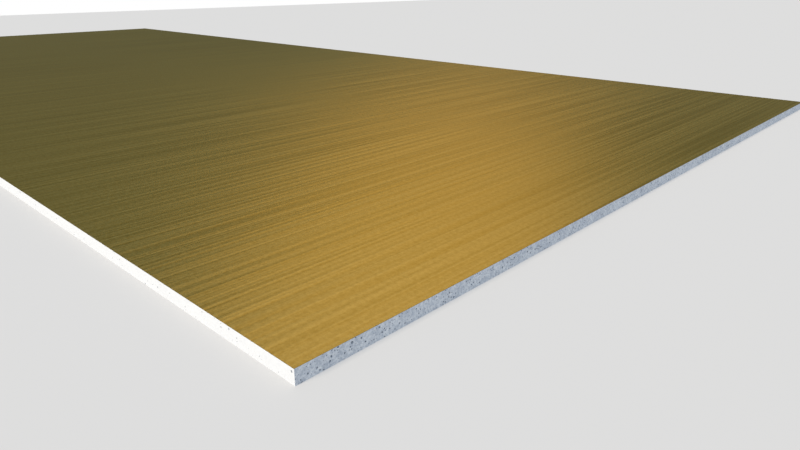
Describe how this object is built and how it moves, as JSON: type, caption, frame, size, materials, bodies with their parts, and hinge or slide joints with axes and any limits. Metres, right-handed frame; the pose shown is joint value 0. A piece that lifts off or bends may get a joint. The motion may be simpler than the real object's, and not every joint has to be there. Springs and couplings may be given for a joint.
{
  "type": "vinyl-faced gypsum panel",
  "caption": "Flat rectangular gypsum board with square edges and a metallic brushed-look vinyl film bonded flush to its upper face.",
  "frame": {"origin": "middle of the sheet's bare back, the face it lies on", "axes": "+X along the sheet's length, +Y across its width, +Z out of the film-covered face"},
  "size_m": [2.7, 1.2, 0.0127],
  "materials": {
    "gypsum": "matte",
    "film": "satin"
  },
  "bodies": {
    "root": {"gypsum_board": "gypsum", "vinyl_film": "film"}
  },
  "joints": []
}
